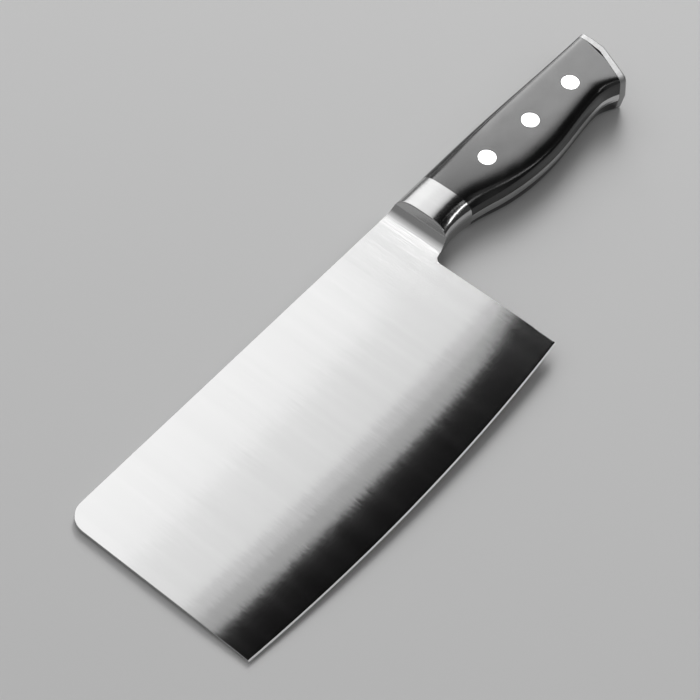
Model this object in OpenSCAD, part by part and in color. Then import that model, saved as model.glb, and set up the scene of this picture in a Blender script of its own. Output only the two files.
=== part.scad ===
// Chinese cleaver: a tall flat blade, a bolster, and a full tang between two riveted
// scales, closed at the butt by a bent steel cap.
// It lies flat. +X runs from the blade to the butt, +Y to the spine, +Z up.

/* [Blade] */
// Length of the blade, from its front to the heel
blade_length = 180; // [140:1:230]
// Height of the blade at its toe and heel
blade_height = 88; // [75:1:110]
// Drop of the curved edge below the line from toe to heel
edge_sweep = 4.4; // [1:0.1:9]
// Thickness of the blade at the spine
blade_t = 2.2; // [1.6:0.1:3]
// Radius of the front corner at the spine
front_corner_r = 8.5; // [2:0.5:20]
// Distance from the spine to the start of the ground face
grind_start = 56; // [40:1:68]
// Thickness behind the sharpened edge
edge_t = 0.5; // [0.3:0.05:1]
// Angle of the sharpened edge to the blade's middle plane, in degrees
edge_angle = 20; // [15:1:40]
// Radius of the inner corner between the heel and the bolster
choil_r = 2.5; // [0.5:0.25:4]
// How deep the foot of the bolster is let into each face of the blade
neck_step = 0.2; // [0.1:0.05:0.4]

/* [Bolster] */
// Distance from the heel to where the bolster starts to rise from the blade
ramp_x = 4.2; // [4:0.1:8]
// Radius at the foot of the bolster's ramp
ramp_r = 6; // [1:0.25:8]
// Steepness of the bolster's ramp, in degrees
ramp_angle = 65; // [45:1:70]
// Distance from the heel to the seam between the bolster and the scales
bolster_end = 26.5; // [24:0.5:34]
// Thickness of the bolster at the top of its ramp
bolster_front_t = 14.8; // [12:0.2:18]
// Thickness of the handle at the seam with the bolster
bolster_t = 17.2; // [14:0.2:22]
// How far the blade's full height runs into the bolster, from the heel
blade_shoulder_x = 12; // [10:0.5:13]
// Length of the blade's tongue inside the bolster
blade_tongue_length = 4.5; // [2:0.5:5]
// Height of the tongues of the blade and the tang
tongue_height = 14; // [8:0.5:16]
// Distance from the spine to the middle of the tongues
tongue_depth = 13; // [11:0.5:15]
// Wall left in the bolster between the two tongues
tongue_wall = 2; // [1:0.5:4]

/* [Grip] */
// Distance from the heel to the seam between the scales and the cap
butt_x = 127; // [118:1:150]
// Thickness of the handle at the butt
butt_t = 18.7; // [15:0.1:24]
// Thickness of the tang
tang_t = 4.2; // [3:0.1:6]
// Drop of the handle's top line at the butt, below the blade's spine
spine_drop = 1.2; // [0:0.1:4]
// Depth of the belly below the spine at the choil
choil_depth = 28.8; // [27:0.1:32]
// Depth of the belly at the waist
waist_depth = 25.5; // [24:0.1:28]
// Distance from the heel to the waist
waist_x = 17; // [14:0.5:21]
// Depth of the belly at the fullest part of the grip
swell_depth = 33.5; // [30:0.1:38]
// Distance from the heel to the fullest part of the grip
swell_x = 71; // [60:1:80]
// Depth of the belly at the hollow before the beak
hollow_depth = 30.6; // [28:0.1:33]
// Distance from the hollow to the butt seam
hollow_setback = 19; // [15:0.5:24]
// Depth of the belly at the beak
beak_depth = 33.4; // [31:0.1:37]

/* [Cap] */
// Thickness of the cap plate
cap_t = 3; // [2:0.1:5]
// Depth below the spine at which the butt bends forward
butt_bend_depth = 14.2; // [10:0.1:20]
// Angle that the butt bends forward, in degrees
butt_slant = 25.4; // [10:0.2:35]
// Angle by which the cap's outside slants less than the butt, so the plate thickens
cap_flare = 1.4; // [0:0.1:4]
// Radius of the bend on the cap's outside
cap_bend_r = 8; // [3:0.5:15]
// Wall left in the cap behind the tang's tenon
cap_wall = 1.2; // [0.5:0.1:1.6]
// Height of the tang's tenon
tenon_height = 8; // [4:0.5:8]

/* [Rivets] */
// Diameter of the rivet heads
rivet_head_d = 7.7; // [6:0.1:9]
// Thickness of the rivet heads
rivet_head_t = 2; // [1.2:0.1:3]
// Outer diameter of the rivet sleeves
rivet_sleeve_d = 5; // [4:0.1:5.6]
// Diameter of the rivet pins
rivet_pin_d = 3; // [2:0.1:3.4]
// Distance from the heel to the front rivet
rivet_x = 49.6; // [44:0.1:54]
// Distance from one rivet to the next
rivet_pitch = 27.2; // [22:0.1:30]
// Depth of the front rivet below the spine
front_rivet_depth = 15.4; // [13:0.1:18]
// Depth of the middle rivet below the spine
middle_rivet_depth = 16.7; // [13:0.1:19]
// Depth of the rear rivet below the spine
rear_rivet_depth = 16.9; // [13:0.1:18]

/* [Fits] */
// Clearance on each side of a tongue, pin or head in its seat
clearance = 0.05; // [0.03:0.01:0.1]

/* [Hidden] */

// Amount by which a cutting shape runs past what it cuts
over = 1;
steel = [0.78, 0.79, 0.80];
polished = [0.88, 0.88, 0.89];
black = [0.07, 0.07, 0.075];

// Edge of the blade: one arc through the toe and the heel
edge_r = (pow(blade_length / 2, 2) + pow(edge_sweep, 2)) / (2 * edge_sweep);
edge_x = -blade_length / 2;
lowest = blade_height + edge_sweep;
edge_y = edge_r - lowest;
edge_flat = 0.04;
neck_t = blade_t - 2 * neck_step;
bevel_width = (edge_t / 2 - edge_flat) / tan(edge_angle);
grind_steps = 4;

// Sections of the handle: each list holds the value at the bolster's seam and at the butt
choil_x = 1.6;
choil_slope = 0.33;
crown_depth = [13.3, 16];
crown_run = 60;
spine_power = [3.6, 14];
belly_power = [3.2, 6];
belly_power_run = 34;
butt_power = 16;
butt_power_run = 20;
spine_lean = [0.3, 3.2];
belly_lean = [0, 1.6];
ring_points = 48;
station_step = 4;

// The belly turns from hollow to full at this share of the run from waist to swell
turn_share = 0.39;
turn_rise = 0.45;
turn_slope = 1.92;
swell_run = swell_x - waist_x;
swell_fall = waist_depth - swell_depth;

// Beak: where the slanted butt meets the belly, and the cap's end just past it
beak_x = butt_x - (beak_depth - butt_bend_depth) * tan(butt_slant);
beak_slope = -0.5;
cap_end_run = 4;
cap_end_fall = 1.2;

belly_keys = [
    [choil_x, -choil_depth, choil_slope],
    [waist_x, -waist_depth, 0],
    [waist_x + turn_share * swell_run, -waist_depth + turn_rise * swell_fall,
        turn_slope * swell_fall / swell_run],
    [swell_x, -swell_depth, 0],
    [butt_x - hollow_setback, -hollow_depth, 0],
    [beak_x, -beak_depth, beak_slope],
    [beak_x + cap_end_run, -beak_depth - cap_end_fall, 0],
    [butt_x + cap_t + over, -beak_depth - cap_end_fall, 0]
];

rivets = [
    [rivet_x, -front_rivet_depth],
    [rivet_x + rivet_pitch, -middle_rivet_depth],
    [rivet_x + 2 * rivet_pitch, -rear_rivet_depth]
];

blade_tongue_end = blade_shoulder_x + blade_tongue_length;
tang_tongue_start = blade_tongue_end + tongue_wall;
tenon_length = cap_t - cap_wall;
tenon_depth = (butt_bend_depth + spine_drop) / 2;

// Middle of the whole knife, which becomes the origin
centre_x = (butt_x + cap_t - blade_length) / 2;
centre_y = -lowest / 2;

function mix(a, b, t) = a + (b - a) * t;
function clamp(t) = min(1, max(0, t));
function ease(t) = t * t * (3 - 2 * t);
function along_grip(x) = clamp((x - bolster_end) / (butt_x - bolster_end));

// Cubic from key a to key b, each [x, y, slope]
function hermite(a, b, x) =
    let (run = b[0] - a[0], t = (x - a[0]) / run)
    mix(a[1], b[1], ease(t)) + run * t * (1 - t) * ((1 - t) * a[2] - t * b[2]);

function belly(x, i = 0) =
    i >= len(belly_keys) - 2 || x <= belly_keys[i + 1][0]
        ? hermite(belly_keys[i], belly_keys[i + 1], x)
        : belly(x, i + 1);

// The belly's line at the choil, drawn on straight towards the heel
function choil_line(x) = choil_slope * (x - choil_x) - choil_depth;

function spine(x) = -spine_drop * clamp(x / butt_x);

function half_thickness(x) =
    x < bolster_end
        ? mix(bolster_front_t, bolster_t, clamp((x - ramp_x) / (bolster_end - ramp_x))) / 2
        : mix(bolster_t, butt_t, along_grip(x)) / 2;

function crown(x) = -mix(crown_depth[0], crown_depth[1], clamp((x - bolster_end) / crown_run));

function belly_power_at(x) =
    mix(belly_power[0], belly_power[1], ease(clamp((x - bolster_end) / belly_power_run)))
    + (butt_power - belly_power[1]) * ease(clamp((x - butt_x + butt_power_run) / butt_power_run));

// Point of the handle's section at x, at angle a from the spine; the section is a
// superellipse whose spine and belly sides have their own powers and lean inward
function section_point(x, a) =
    let (
        g = ease(along_grip(x)),
        on_spine = cos(a) >= 0,
        power = on_spine ? mix(spine_power[0], spine_power[1], g) : belly_power_at(x),
        lean = on_spine ? mix(spine_lean[0], spine_lean[1], g)
                        : mix(belly_lean[0], belly_lean[1], along_grip(x)),
        reach = on_spine ? spine(x) - crown(x) : crown(x) - belly(x),
        u = sign(cos(a)) * pow(abs(cos(a)), 2 / power),
        w = pow(abs(sin(a)), 2 / power)
    )
    [x, crown(x) + u * (reach - lean * w), sign(sin(a)) * half_thickness(x) * w];

function stations(x0, x1) =
    let (steps = ceil((x1 - x0) / station_step))
    [for (i = [0:steps]) mix(x0, x1, i / steps)];

// The handle's outer form between x0 and x1
module handle_form(x0, x1) {
    xs = stations(x0, x1);
    n = ring_points;
    last = len(xs) - 1;
    points = [for (x = xs, k = [0:n - 1]) section_point(x, 360 * k / n)];
    walls = [
        for (i = [0:last - 1], k = [0:n - 1])
            let (a = i * n + k, b = i * n + (k + 1) % n)
            each [[a, b + n, b], [a, a + n, b + n]]
    ];
    front = [for (k = [0:n - 1]) k];
    rear = [for (k = [0:n - 1]) last * n + n - 1 - k];
    polyhedron(points = points, faces = concat(walls, [front], [rear]), convexity = 4);
}

// Everything ahead of the butt seam, which bends forward below the bend
module ahead_of_butt() {
    far = blade_height;
    polygon([
        [-blade_length, far], [butt_x, far], [butt_x, -butt_bend_depth],
        [butt_x - (far - butt_bend_depth) * tan(butt_slant), -far], [-blade_length, -far]
    ]);
}

// Plan of the cap: the butt seam inside and a slightly lesser bend outside
module cap_plan() {
    far = beak_depth + cap_end_fall + over;
    slide = tan(butt_slant) * (far - butt_bend_depth);
    inset = cap_t - cap_bend_r;
    turn = [butt_x + inset, -butt_bend_depth - tan(butt_slant / 2) * inset];
    outer_slant = butt_slant - cap_flare;
    outer_bend = [
        for (i = [0:6])
            let (a = -outer_slant * i / 6)
            turn + cap_bend_r * [cos(a), sin(a)]
    ];
    polygon(concat(
        [[butt_x, -butt_bend_depth], [butt_x, over], [butt_x + cap_t, over]],
        outer_bend,
        [outer_bend[6] - (outer_bend[6][1] + far) * [tan(outer_slant), 1], [butt_x - slide, -far]]
    ));
}

// A flat tongue along x from x0 to x1, or the slot for it with a gap all round
module tongue(x0, x1, height, depth, t, gap) {
    translate([x0 - gap, -depth - height / 2 - gap, -t / 2 - gap])
        cube([x1 - x0 + 2 * gap, height + 2 * gap, t + 2 * gap]);
}

module blade_tongue(gap) {
    tongue(blade_shoulder_x - over, blade_tongue_end, tongue_height, tongue_depth, neck_t, gap);
}

module tang_tongue(gap) {
    tongue(tang_tongue_start, bolster_end + over, tongue_height, tongue_depth, tang_t, gap);
}

module tang_tenon(gap) {
    tongue(butt_x - over, butt_x + tenon_length, tenon_height, tenon_depth, tang_t, gap);
}

// Outline of the blade in plan, as far back as its shoulder; the edge comes from the section
module blade_plan() {
    neck_steps = 8;
    difference() {
        translate([-blade_length, -lowest - over])
            square([blade_length, lowest + over]);
        difference() {
            translate([-blade_length - over, -front_corner_r])
                square([front_corner_r + over, front_corner_r + over]);
            translate([-blade_length + front_corner_r, -front_corner_r])
                circle(r = front_corner_r, $fn = 96);
        }
    }
    polygon(concat(
        [[-over, 0], [0, 0], [blade_shoulder_x, spine(blade_shoulder_x)]],
        [for (i = [0:neck_steps])
            let (x = mix(blade_shoulder_x, choil_x, i / neck_steps))
            [x, belly(x)]],
        [[-over, choil_line(-over)]]
    ));
    turn = atan(choil_slope);
    centre = [choil_r, choil_line(choil_r * (1 - sin(turn))) - choil_r * cos(turn)];
    polygon(concat(
        [[-over, 0], [-over, centre[1]]],
        [for (i = [0:12])
            let (a = mix(180, 90 + turn, i / 12))
            centre + choil_r * [cos(a), sin(a)]]
    ));
}

// Half of the blade's section, out from the edge's centre: flat, a convex grind, the edge
function blade_side() = concat(
    [[edge_y - over, blade_t / 2]],
    [for (i = [0:grind_steps])
        let (s = i / grind_steps)
        [mix(edge_r - lowest + grind_start, edge_r - bevel_width, s), mix(blade_t, edge_t, s * s) / 2]],
    [[edge_r, edge_flat]]
);

// The blade's section swept along its edge, which is an arc
module blade_sweep() {
    upper = blade_side();
    lower = [for (i = [len(upper) - 1:-1:0]) [upper[i][0], -upper[i][1]]];
    translate([edge_x, edge_y, 0])
        rotate_extrude($fn = 720)
            polygon(concat(upper, lower));
}

module blade() {
    color(steel) {
        intersection() {
            blade_sweep();
            translate([-blade_length, -2 * lowest, -blade_t])
                cube([blade_length + ramp_x, 3 * lowest, 2 * blade_t]);
            translate([0, 0, -blade_t])
                linear_extrude(height = 2 * blade_t)
                    blade_plan();
        }
        intersection() {
            translate([ramp_x - over, -2 * lowest, -blade_t])
                cube([blade_length, 3 * lowest, 2 * blade_t]);
            translate([0, 0, -neck_t / 2])
                linear_extrude(height = neck_t)
                    blade_plan();
        }
        blade_tongue(0);
    }
}

// Side view of the space that the bolster fills: a ramp up from each face of the blade
module bolster_profile() {
    foot = blade_t / 2;
    bend = [
        for (i = [0:10])
            let (a = ramp_angle * i / 10)
            [ramp_x + ramp_r * sin(a), foot + ramp_r * (1 - cos(a))]
    ];
    last = bend[len(bend) - 1];
    top = bolster_t / 2 + over;
    ramp = concat(bend, [[last[0] + (top - last[1]) / tan(ramp_angle), top]]);
    lower = [for (i = [len(ramp) - 1:-1:0]) [ramp[i][0], -ramp[i][1]]];
    polygon(concat(ramp, [[bolster_end, top], [bolster_end, -top]], lower));
}

module bolster() {
    color(polished)
        difference() {
            intersection() {
                handle_form(ramp_x - over, bolster_end);
                translate([0, blade_height / 2, 0])
                    rotate([90, 0, 0])
                        linear_extrude(height = 2 * blade_height)
                            bolster_profile();
            }
            translate([0, -blade_height, -neck_t / 2])
                cube([blade_shoulder_x, 2 * blade_height, neck_t]);
            blade_tongue(clearance);
            tang_tongue(clearance);
        }
}

// Outline of the tang in plan, flush with the scales along the spine and the belly
module tang_plan() {
    xs = stations(bolster_end, butt_x + over);
    intersection() {
        polygon(concat(
            [for (x = xs) [x, spine(x)]],
            [for (i = [len(xs) - 1:-1:0]) [xs[i], belly(xs[i])]]
        ));
        ahead_of_butt();
    }
}

module rivet_holes(d) {
    for (r = rivets)
        translate([r[0], r[1], -butt_t])
            cylinder(d = d, h = 2 * butt_t, $fn = 48);
}

module tang() {
    color(steel)
        difference() {
            union() {
                translate([0, 0, -tang_t / 2])
                    linear_extrude(height = tang_t)
                        tang_plan();
                tang_tongue(0);
                tang_tenon(0);
            }
            rivet_holes(rivet_sleeve_d + 2 * clearance);
        }
}

module end_cap() {
    color(polished)
        difference() {
            intersection() {
                handle_form(beak_x - cap_end_run, butt_x + cap_t);
                translate([0, 0, -butt_t])
                    linear_extrude(height = 2 * butt_t)
                        cap_plan();
            }
            tang_tenon(clearance);
        }
}

// Height of the rivet seats above the middle plane, under the heads
function seat_z(x) = half_thickness(x) - rivet_head_t;

module scale() {
    difference() {
        intersection() {
            handle_form(bolster_end, butt_x + over);
            translate([0, 0, tang_t / 2])
                linear_extrude(height = butt_t)
                    ahead_of_butt();
        }
        rivet_holes(rivet_sleeve_d + 2 * clearance);
        for (r = rivets)
            translate([r[0], r[1], seat_z(r[0])])
                cylinder(d = rivet_head_d + 2 * clearance, h = butt_t, $fn = 64);
    }
}

module scale_upper() {
    color(black)
        scale();
}

module scale_lower() {
    color(black)
        mirror([0, 0, 1])
            scale();
}

// A rivet head over its seat, ground flush with the scale
module rivet_head(r) {
    intersection() {
        translate([r[0], r[1], seat_z(r[0])])
            cylinder(d = rivet_head_d, h = butt_t, $fn = 64);
        handle_form(r[0] - rivet_head_d, r[0] + rivet_head_d);
    }
}

// Upper half of a rivet: a head and a pin that runs down inside the sleeve
module rivet_pin(r) {
    pin_length = 2 * seat_z(r[0]) - rivet_head_t;
    color(polished)
        union() {
            rivet_head(r);
            translate([r[0], r[1], seat_z(r[0]) - pin_length])
                cylinder(d = rivet_pin_d, h = pin_length + rivet_head_t / 2, $fn = 48);
        }
}

// Lower half of a rivet: a head and a hollow sleeve that runs up to the other head
module rivet_sleeve(r) {
    sleeve_length = 2 * seat_z(r[0]) - clearance;
    color(polished)
        translate([r[0], r[1], 0])
            difference() {
                union() {
                    mirror([0, 0, 1])
                        translate([-r[0], -r[1], 0])
                            rivet_head(r);
                    translate([0, 0, -seat_z(r[0]) - rivet_head_t / 2])
                        cylinder(d = rivet_sleeve_d, h = sleeve_length + rivet_head_t / 2, $fn = 48);
                }
                translate([0, 0, -seat_z(r[0]) + rivet_head_t / 2])
                    cylinder(d = rivet_pin_d + 2 * clearance, h = sleeve_length, $fn = 48);
            }
}

module placed() {
    translate([-centre_x, -centre_y, 0])
        children();
}

placed() blade();
placed() bolster();
placed() tang();
placed() end_cap();
placed() scale_upper();
placed() scale_lower();
placed() rivet_pin(rivets[0]);  // rivet_pin_front
placed() rivet_pin(rivets[1]);  // rivet_pin_middle
placed() rivet_pin(rivets[2]);  // rivet_pin_rear
placed() rivet_sleeve(rivets[0]);  // rivet_sleeve_front
placed() rivet_sleeve(rivets[1]);  // rivet_sleeve_middle
placed() rivet_sleeve(rivets[2]);  // rivet_sleeve_rear
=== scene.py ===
"""A Chinese cleaver lying on a plain pale table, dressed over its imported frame.

Shapes are worked out in millimetres from the corner where the heel line meets the spine:
+X runs to the butt, +Y to the spine and +Z up. Each finished mesh is then moved into the
frame's own metres.
"""
import logging
import math
from dataclasses import dataclass
from enum import Enum
from typing import Callable, Iterable

import bmesh
import bpy
from mathutils import Matrix, Vector


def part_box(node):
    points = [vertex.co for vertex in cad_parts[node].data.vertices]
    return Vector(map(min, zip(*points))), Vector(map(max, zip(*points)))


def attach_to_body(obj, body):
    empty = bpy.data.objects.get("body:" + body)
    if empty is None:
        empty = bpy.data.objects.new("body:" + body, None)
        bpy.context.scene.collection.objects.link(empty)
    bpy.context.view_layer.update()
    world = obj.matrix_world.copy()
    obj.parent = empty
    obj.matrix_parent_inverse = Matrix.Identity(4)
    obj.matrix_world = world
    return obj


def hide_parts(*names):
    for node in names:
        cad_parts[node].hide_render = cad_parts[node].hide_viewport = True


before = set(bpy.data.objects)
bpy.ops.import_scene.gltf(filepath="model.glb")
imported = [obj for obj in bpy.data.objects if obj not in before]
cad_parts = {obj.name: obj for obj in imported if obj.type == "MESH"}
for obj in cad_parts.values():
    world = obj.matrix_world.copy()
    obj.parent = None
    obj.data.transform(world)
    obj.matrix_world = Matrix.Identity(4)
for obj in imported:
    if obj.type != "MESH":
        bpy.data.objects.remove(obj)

log = logging.getLogger("cleaver")
MM = 0.001
BODY = "root"

# Distance within which points are merged, the least length that an edge keeps, and the height
# up to which a point counts as lying in the middle plane
WELD = 0.0005
SLIVER = WELD / 10
FLAT = 1e-4
# How far a cutter reaches past the face that it enters
OVER = 1.0
# Sides of the posts that bore round holes
POST_SIDES = 96
# Rounds in which a point settles on the bent butt seam, and a height on the rounded section
SEAM_ROUNDS = 4
TOP_ROUNDS = 6
# The part of a noise texture's range that holds nearly all its values
TEXTURE_RANGE = (0.3, 0.7)

Point = tuple[float, float, float]
Pair = tuple[float, float]
Ring = tuple[float, float, float]
Place = Callable[[int, int], Point]
Shape = bmesh.types.BMesh
Piece = bpy.types.Object
Node = bpy.types.Node
Material = bpy.types.Material


class Side(Enum):
    """The two long sides of the handle, as signs of Y."""

    SPINE = 1
    BELLY = -1


class Half(Enum):
    """The two faces of the knife, as signs of Z."""

    UPPER = 1
    LOWER = -1


def mix(low: float, high: float, share: float) -> float:
    """Returns the value at a share of the way from low to high."""
    return low + (high - low) * share


def clamp(value: float, low: float = 0.0, high: float = 1.0) -> float:
    """Returns the value held between low and high."""
    return min(high, max(low, value))


def ease(share: float) -> float:
    """Returns a share that starts and ends gently."""
    return share * share * (3 - 2 * share)


def spread(low: float, high: float, steps: int) -> list[float]:
    """Returns steps + 1 even values from low to high."""
    return [mix(low, high, k / steps) for k in range(steps + 1)]


def soft_min(first: float, second: float, blend: float) -> float:
    """Takes the lesser value, rounded where the two are close.

    Args:
        first: One value.
        second: The other value.
        blend: Width of the rounded stretch.

    Returns:
        The rounded minimum.
    """
    near = clamp(0.5 + (second - first) / (2 * blend))
    return mix(second, first, near) - blend * near * (1 - near)


@dataclass(frozen=True)
class Layout:
    """Sizes that several pieces share, in millimetres."""

    blade_length: float = 180.0
    blade_thickness: float = 2.2
    neck_thickness: float = 1.8
    ramp_x: float = 4.2
    shoulder_x: float = 12.0
    blade_tongue_end: float = 16.5
    tang_tongue_start: float = 18.5
    tongue_height: float = 14.0
    tongue_depth: float = 13.0
    bolster_end: float = 26.5
    butt_x: float = 127.0
    butt_bend: float = 14.2
    butt_slant: float = math.radians(25.4)
    cap_thickness: float = 3.0
    tang_thickness: float = 4.2
    tenon_length: float = 1.8
    tenon_height: float = 8.0
    rivet_head: float = 7.7
    rivet_head_thickness: float = 2.0
    rivet_sleeve: float = 5.0
    rivet_pin: float = 3.0
    clearance: float = 0.05

    def to_frame(self) -> Matrix:
        """Works out the move from these millimetres into the frame's metres.

        Returns:
            The move, found from the box of the frame's blade.
        """
        low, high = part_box("blade")
        heel = Vector((low.x + self.blade_length * MM, high.y, 0.0))
        return Matrix.Translation(heel) @ Matrix.Scale(MM, 4)

    def seam_x(self, y: float) -> float:
        """Returns where the butt seam lies at height y."""
        return self.butt_x - max(0.0, -self.butt_bend - y) * math.tan(self.butt_slant)


@dataclass(frozen=True)
class Grip:
    """The handle's outer form, from which its pieces are cut.

    Each pair holds a value at the bolster's seam and the one that it reaches further back. Each
    key of the belly line holds its x, its height and its slope.
    """

    layout: Layout
    spine_drop: float = 1.2
    front_half: float = 7.4
    seam_half: float = 8.6
    butt_half: float = 9.35
    crown_front: float = 13.3
    crown_rear: float = 16.0
    crown_run: float = 60.0
    spine_power: Pair = (3.6, 14.0)
    spine_lean: Pair = (0.3, 3.2)
    belly_power: Pair = (3.2, 6.0)
    belly_power_run: float = 34.0
    belly_lean: Pair = (0.0, 1.6)
    butt_power: float = 16.0
    butt_power_run: float = 20.0
    belly_keys: tuple[Point, ...] = (
        (1.6, -28.8, 0.33),
        (17.0, -25.5, 0.0),
        (38.06, -29.1, -0.284),
        (71.0, -33.5, 0.0),
        (108.0, -30.6, 0.0),
        (117.883, -33.4, -0.5),
        (121.883, -34.6, 0.0),
        (131.0, -34.6, 0.0),
    )

    def along(self, x: float) -> float:
        """Returns the share of the way from the bolster's seam to the butt."""
        seam = self.layout.bolster_end
        return clamp((x - seam) / (self.layout.butt_x - seam))

    def spine(self, x: float) -> float:
        """Returns the height of the handle's top line at x."""
        return -self.spine_drop * clamp(x / self.layout.butt_x)

    def belly(self, x: float) -> float:
        """Follows the handle's belly line, a cubic through its keys.

        Args:
            x: Distance from the heel.

        Returns:
            The line's height.
        """
        keys = self.belly_keys
        start = next(k for k in range(len(keys) - 1) if x <= keys[k + 1][0] or k == len(keys) - 2)
        (x0, y0, slope0), (x1, y1, slope1) = keys[start], keys[start + 1]
        run = x1 - x0
        t = (x - x0) / run
        return mix(y0, y1, ease(t)) + run * t * (1 - t) * ((1 - t) * slope0 - t * slope1)

    def half(self, x: float) -> float:
        """Finds half the handle's thickness.

        Args:
            x: Distance from the heel.

        Returns:
            Half the thickness at x.
        """
        ramp, seam = self.layout.ramp_x, self.layout.bolster_end
        if x < seam:
            return mix(self.front_half, self.seam_half, clamp((x - ramp) / (seam - ramp)))
        return mix(self.seam_half, self.butt_half, self.along(x))

    def crown(self, x: float) -> float:
        """Returns the height at which the section is thickest."""
        share = clamp((x - self.layout.bolster_end) / self.crown_run)
        return -mix(self.crown_front, self.crown_rear, share)

    def shape(self, x: float, side: Side) -> tuple[float, float, float]:
        """Describes one side of the section at x.

        Args:
            x: Distance from the heel.
            side: Which side of the crown.

        Returns:
            The superellipse's power, its reach from the crown and its inward lean.
        """
        if side is Side.SPINE:
            share = ease(self.along(x))
            reach = self.spine(x) - self.crown(x)
            return mix(*self.spine_power, share), reach, mix(*self.spine_lean, share)
        run = clamp((x - self.layout.bolster_end) / self.belly_power_run)
        late = clamp((x - self.layout.butt_x + self.butt_power_run) / self.butt_power_run)
        power = mix(*self.belly_power, ease(run))
        power += (self.butt_power - self.belly_power[1]) * ease(late)
        return power, self.crown(x) - self.belly(x), mix(*self.belly_lean, self.along(x))

    def section(self, x: float, angle: float) -> Pair:
        """Finds a point of the section.

        Args:
            x: Distance from the heel.
            angle: Angle from the spine, in radians.

        Returns:
            The point's (y, z).
        """
        side = Side.SPINE if math.cos(angle) >= 0 else Side.BELLY
        power, reach, lean = self.shape(x, side)
        across = abs(math.cos(angle)) ** (2 / power)
        up = abs(math.sin(angle)) ** (2 / power)
        y = self.crown(x) + side.value * across * (reach - lean * up)
        return y, math.copysign(self.half(x) * up, math.sin(angle))

    def angle_at(self, x: float, z: float, side: Side) -> float:
        """Finds the section's angle at which a side reaches a height.

        Args:
            x: Distance from the heel.
            z: Height above the middle plane.
            side: Which side of the crown.

        Returns:
            The angle from the spine, in radians.
        """
        power = self.shape(x, side)[0]
        angle = math.asin(clamp(z / self.half(x)) ** (power / 2))
        return angle if side is Side.SPINE else math.pi - angle

    def top(self, x: float, y: float) -> float:
        """Finds the height of the upper surface over a point of the plan.

        Args:
            x: Distance from the heel.
            y: Height of the point in the plan.

        Returns:
            The height above the middle plane.
        """
        side = Side.SPINE if y >= self.crown(x) else Side.BELLY
        power, reach, lean = self.shape(x, side)
        up = 1.0
        for _ in range(TOP_ROUNDS):
            across = clamp(abs(y - self.crown(x)) / (reach - lean * up))
            up = (1 - across ** power) ** (1 / power)
        return self.half(x) * up


def lay_grid(bm: Shape, columns: int, rows: int, place: Place) -> None:
    """Adds a grid and lays each of its points.

    Args:
        bm: The mesh that gets the grid.
        columns: Number of faces along the first direction.
        rows: Number of faces along the second direction.
        place: Gives the position of the point in a column and a row.
    """
    made = bmesh.ops.create_grid(bm, x_segments=columns, y_segments=rows, size=0.5)
    for vert in made["verts"]:
        column = round((vert.co.x + 0.5) * columns)
        row = round((vert.co.y + 0.5) * rows)
        vert.co = place(column, row)


def weld(bm: Shape) -> None:
    """Merges points that fall together and drops faces that lost their area."""
    bmesh.ops.remove_doubles(bm, verts=bm.verts, dist=WELD)
    bmesh.ops.dissolve_degenerate(bm, edges=bm.edges, dist=SLIVER)


def dropped(point: Point, inner: bool) -> Point:
    """Returns the point, or where inner is set the one under it in the middle plane."""
    return (*point[:2], 0.0) if inner else point


def close_at_middle(bm: Shape) -> None:
    """Runs the open rim of an upper half down to the middle plane and mirrors the half.

    Args:
        bm: The upper half, which becomes the whole.
    """
    weld(bm)
    rim = [edge for edge in bm.edges if edge.is_boundary and any(v.co.z > FLAT for v in edge.verts)]
    grown = bmesh.ops.extrude_edge_only(bm, edges=rim)
    for vert in (item for item in grown["geom"] if isinstance(item, bmesh.types.BMVert)):
        vert.co.z = 0.0
    weld(bm)
    whole = list(bm.verts) + list(bm.edges) + list(bm.faces)
    bmesh.ops.mirror(bm, geom=whole, matrix=Matrix.Identity(4), merge_dist=WELD, axis="Z")
    weld(bm)


def add_box(bm: Shape, low: Point, high: Point) -> None:
    """Adds a box.

    Args:
        bm: The mesh that gets the box.
        low: The box's lowest corner.
        high: Its highest corner.
    """
    size = [b - a for a, b in zip(low, high)]
    middle = [(a + b) / 2 for a, b in zip(low, high)]
    matrix = Matrix.Translation(middle) @ Matrix.Diagonal((*size, 1.0))
    bmesh.ops.create_cube(bm, size=1.0, matrix=matrix)


def add_post(bm: Shape, spot: Pair, low: float, high: float, diameter: float) -> None:
    """Adds an upright cylinder.

    Args:
        bm: The mesh that gets the cylinder.
        spot: Its place in the plan.
        low: Height of its foot.
        high: Height of its top.
        diameter: Its diameter.
    """
    matrix = Matrix.Translation((*spot, (low + high) / 2))
    bmesh.ops.create_cone(
        bm, cap_ends=True, segments=POST_SIDES, radius1=diameter / 2, radius2=diameter / 2,
        depth=high - low, matrix=matrix,
    )


def stand(bm: Shape, name: str) -> Piece:
    """Makes a shape an object of the scene.

    Args:
        bm: The shape. It is freed.
        name: Name of the object and of its mesh.

    Returns:
        The new object, at the origin.
    """
    mesh = bpy.data.meshes.new(name)
    bm.to_mesh(mesh)
    bm.free()
    piece = bpy.data.objects.new(name, mesh)
    bpy.context.scene.collection.objects.link(piece)
    return piece


def finish_mesh(bm: Shape, name: str, to_frame: Matrix, crease: float = 30.0) -> Piece:
    """Turns a mesh's faces outwards, shades it and makes its object in the frame.

    Args:
        bm: The finished shape, in millimetres. It is freed.
        name: Name of the new object.
        to_frame: Move into the frame's metres.
        crease: Angle in degrees past which an edge is shaded as sharp.

    Returns:
        The new object, at the origin.
    """
    bmesh.ops.recalc_face_normals(bm, faces=bm.faces)
    for face in bm.faces:
        face.smooth = True
    for edge in bm.edges:
        edge.smooth = len(edge.link_faces) == 2 and edge.calc_face_angle() < math.radians(crease)
    bmesh.ops.transform(bm, matrix=to_frame, verts=bm.verts)
    return stand(bm, name)


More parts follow.
